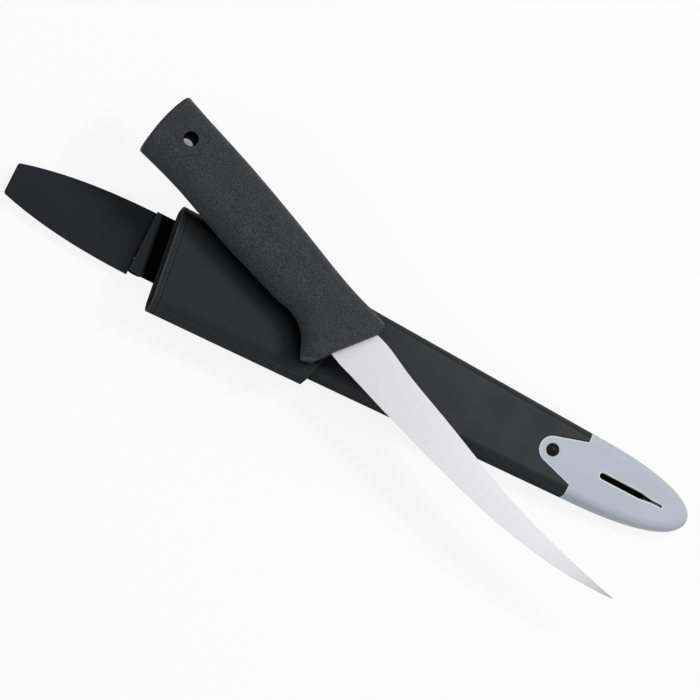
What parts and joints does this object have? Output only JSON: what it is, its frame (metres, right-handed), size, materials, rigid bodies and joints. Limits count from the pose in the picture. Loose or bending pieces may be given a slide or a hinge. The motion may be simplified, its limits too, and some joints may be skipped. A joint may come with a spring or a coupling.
{
  "type": "fillet knife",
  "caption": "Slim fillet knife with a grained grip, lying across its belt sheath, which has a slotted rod sharpener in its tip and a folding belt clip.",
  "frame": {"origin": "middle of the sheath's flat back, half way between its mouth and its nose", "axes": "+X along the sheath from its mouth to its nose, +Y to the side where the spine of the sheathed blade lies, +Z out of the front of the sheath"},
  "size_m": [0.3314, 0.112, 0.0503],
  "materials": {
    "blade_steel": "satin ground",
    "pin_steel": "drawn wire",
    "grip_rubber": "grained soft grip",
    "core_plastic": "matte",
    "sheath_plastic": "fine matte",
    "clip_plastic": "fine matte",
    "tip_plastic": "smooth matte",
    "pin_plastic": "smooth",
    "ceramic": "fine matte"
  },
  "bodies": {
    "sheath": {"sheath_body": "sheath_plastic", "tip_front": "tip_plastic", "tip_back": "tip_plastic", "rod_holder": "pin_plastic", "ceramic_rod_front": "ceramic", "ceramic_rod_back": "ceramic", "tip_pin_front": "pin_plastic", "tip_pin_back": "pin_plastic", "hinge_pin": "pin_steel"},
    "knife": {"blade": "blade_steel", "handle_core": "core_plastic", "handle_grip": "grip_rubber"},
    "clip": {"belt_clip": "clip_plastic"}
  },
  "joints": [
    {"name": "knife_lift", "type": "slide", "parent": "sheath", "child": "knife", "axis": [0, 0, 1], "range_m": [0, 0.12]},
    {"name": "clip_hinge", "type": "hinge", "parent": "sheath", "child": "clip", "pos_m": [-0.1349, 0.002, -0.003], "axis": [0, -1, 0], "range_deg": [0, 180]}
  ]
}
